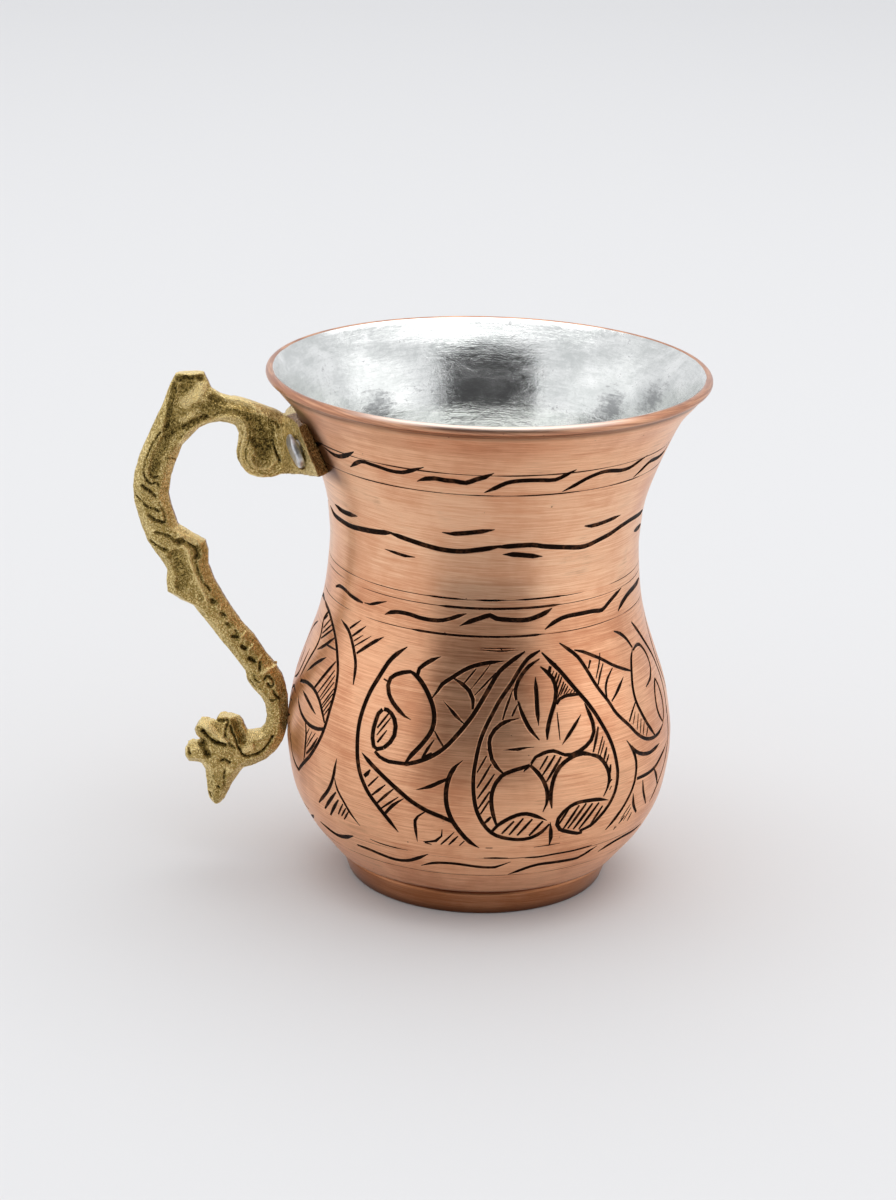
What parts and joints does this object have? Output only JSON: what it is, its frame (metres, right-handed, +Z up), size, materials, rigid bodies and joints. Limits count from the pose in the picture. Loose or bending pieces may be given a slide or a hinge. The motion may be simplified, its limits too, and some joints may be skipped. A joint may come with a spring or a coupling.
{
  "type": "drinking mug",
  "caption": "Waisted drinking mug with a flared mouth, round belly, ring foot, tinned inside and a cast scroll handle riveted to one side.",
  "frame": {"origin": "centre of the foot, on the surface that the mug stands on", "axes": "+Z up along the mug's axis, handle towards -X, +Y to the far side when the handle is on the left"},
  "size_m": [0.1083, 0.0834, 0.1],
  "materials": {
    "copper": "satin",
    "tin": "satin",
    "cast_brass": "satin",
    "rivet_aluminium": "satin"
  },
  "bodies": {
    "root": {"copper_body": "copper", "tin_lining": "tin", "brass_handle": "cast_brass", "front_rivet": "rivet_aluminium", "back_rivet": "rivet_aluminium"}
  },
  "joints": []
}
